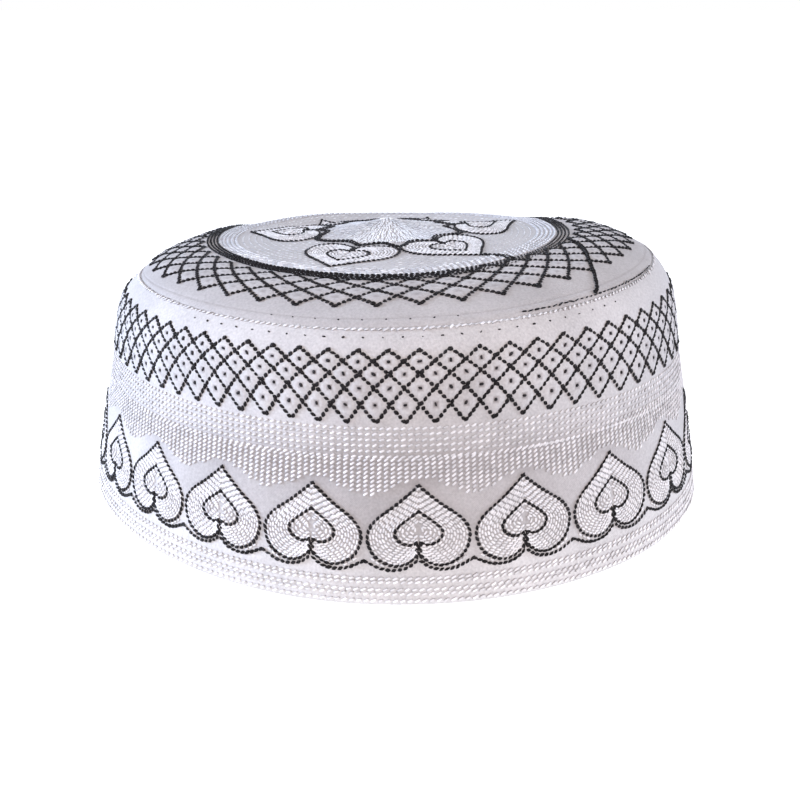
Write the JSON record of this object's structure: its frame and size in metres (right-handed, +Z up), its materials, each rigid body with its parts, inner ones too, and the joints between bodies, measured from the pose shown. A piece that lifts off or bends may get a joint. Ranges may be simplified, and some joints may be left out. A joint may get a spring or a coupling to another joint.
{
  "type": "prayer cap",
  "caption": "Round flat-topped prayer cap of stiff white cloth: a flared side band and a domed disc with a small peak, embroidered with black lattice and hearts.",
  "frame": {"origin": "middle of the open rim's footprint, on the surface that the cap rests on", "axes": "+Z up through the crown, -Y to the front, the side that the picture shows, +X to the cap's left hand as worn facing -Y, the picture's right"},
  "size_m": [0.1912, 0.1892, 0.0785],
  "materials": {
    "white_cloth": "matt white doubled cotton and polyester cloth with glossy white and black chain-stitch embroidery"
  },
  "bodies": {
    "root": {"side_band": "white_cloth", "crown_top": "white_cloth"}
  },
  "joints": []
}
